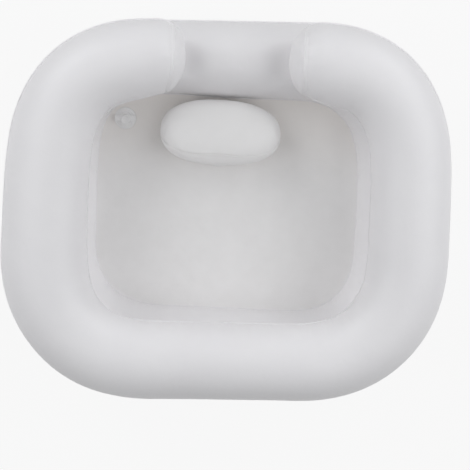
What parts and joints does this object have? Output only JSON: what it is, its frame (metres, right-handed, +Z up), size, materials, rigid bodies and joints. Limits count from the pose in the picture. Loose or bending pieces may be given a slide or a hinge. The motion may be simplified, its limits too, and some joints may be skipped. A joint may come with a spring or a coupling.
{
  "type": "portable shampoo basin",
  "caption": "Inflatable shampoo basin of two stacked air tubes round a floor panel, with a neck notch, neck pillow, plugged drain and push-in air valves.",
  "frame": {"origin": "on the standing surface, under the middle of the outline", "axes": "+Z up, +Y towards the neck notch, +X to the right of someone facing the notch from the foot side"},
  "size_m": [0.612, 0.526, 0.1978],
  "materials": {
    "tube_film": "satin",
    "floor_film": "satin",
    "pillow_film": "satin",
    "valve_vinyl": "gloss",
    "drain_vinyl": "satin"
  },
  "bodies": {
    "root": {"lower_tube_top_sheet": "tube_film", "lower_tube_bottom_sheet": "tube_film", "floor_panel": "floor_film", "upper_tube_top_sheet": "tube_film", "upper_tube_bottom_sheet": "tube_film", "upper_tube_left_end_disc": "tube_film", "upper_tube_right_end_disc": "tube_film", "pillow_top_sheet": "pillow_film", "pillow_bottom_sheet": "pillow_film", "drain_flange": "drain_vinyl", "drain_spout": "drain_vinyl", "upper_valve_flange": "valve_vinyl", "lower_valve_flange": "valve_vinyl", "pillow_valve_flange": "valve_vinyl"},
    "drain_cap": {"drain_cap": "drain_vinyl"},
    "upper_valve_stem": {"upper_valve_stem": "valve_vinyl"},
    "upper_valve_cap": {"upper_valve_cap": "valve_vinyl"},
    "upper_valve_check_flap": {"upper_valve_check_flap": "valve_vinyl"},
    "lower_valve_stem": {"lower_valve_stem": "valve_vinyl"},
    "lower_valve_cap": {"lower_valve_cap": "valve_vinyl"},
    "lower_valve_check_flap": {"lower_valve_check_flap": "valve_vinyl"},
    "pillow_valve_stem": {"pillow_valve_stem": "valve_vinyl"},
    "pillow_valve_cap": {"pillow_valve_cap": "valve_vinyl"},
    "pillow_valve_check_flap": {"pillow_valve_check_flap": "valve_vinyl"}
  },
  "joints": [
    {"name": "drain_cap_hinge", "type": "hinge", "parent": "root", "child": "drain_cap", "pos_m": [-0.1612, 0.121, 0.05652], "axis": [0, -1, 0], "range_deg": [0, 130]},
    {"name": "upper_valve_slide", "type": "slide", "parent": "root", "child": "upper_valve_stem", "axis": [0, -0.866, -0.5], "range_m": [0, 0.009]},
    {"name": "upper_valve_cap_hinge", "type": "hinge", "parent": "upper_valve_stem", "child": "upper_valve_cap", "pos_m": [0.0492, -0.25767, 0.11613], "axis": [0, 0.5, -0.866], "range_deg": [0, 150]},
    {"name": "upper_valve_flap_hinge", "type": "hinge", "parent": "upper_valve_stem", "child": "upper_valve_check_flap", "pos_m": [0.0554, -0.24117, 0.12565], "axis": [0, -0.5, 0.866], "range_deg": [0, 40], "stiffness_Nm_per_rad": 0.0001, "springref_deg": -8.59},
    {"name": "lower_valve_slide", "type": "slide", "parent": "root", "child": "lower_valve_stem", "axis": [0, -0.866, 0.5], "range_m": [0, 0.009]},
    {"name": "lower_valve_cap_hinge", "type": "hinge", "parent": "lower_valve_stem", "child": "lower_valve_cap", "pos_m": [-0.0708, -0.25767, 0.08098], "axis": [0, -0.5, -0.866], "range_deg": [0, 150]},
    {"name": "lower_valve_flap_hinge", "type": "hinge", "parent": "lower_valve_stem", "child": "lower_valve_check_flap", "pos_m": [-0.0646, -0.24117, 0.07145], "axis": [0, 0.5, 0.866], "range_deg": [0, 40], "stiffness_Nm_per_rad": 0.0001, "springref_deg": -8.59},
    {"name": "pillow_valve_slide", "type": "slide", "parent": "root", "child": "pillow_valve_stem", "axis": [-0.06, -0.9285, -0.3665], "range_m": [0, 0.007]},
    {"name": "pillow_valve_cap_hinge", "type": "hinge", "parent": "pillow_valve_stem", "child": "pillow_valve_cap", "pos_m": [-0.0256, 0.06148, 0.06877], "axis": [0.0237, 0.3657, -0.9304], "range_deg": [0, 150]},
    {"name": "pillow_valve_flap_hinge", "type": "hinge", "parent": "pillow_valve_stem", "child": "pillow_valve_check_flap", "pos_m": [-0.01827, 0.07877, 0.07576], "axis": [-0.0237, -0.3657, 0.9304], "range_deg": [0, 40], "stiffness_Nm_per_rad": 0.0001, "springref_deg": -8.59}
  ]
}
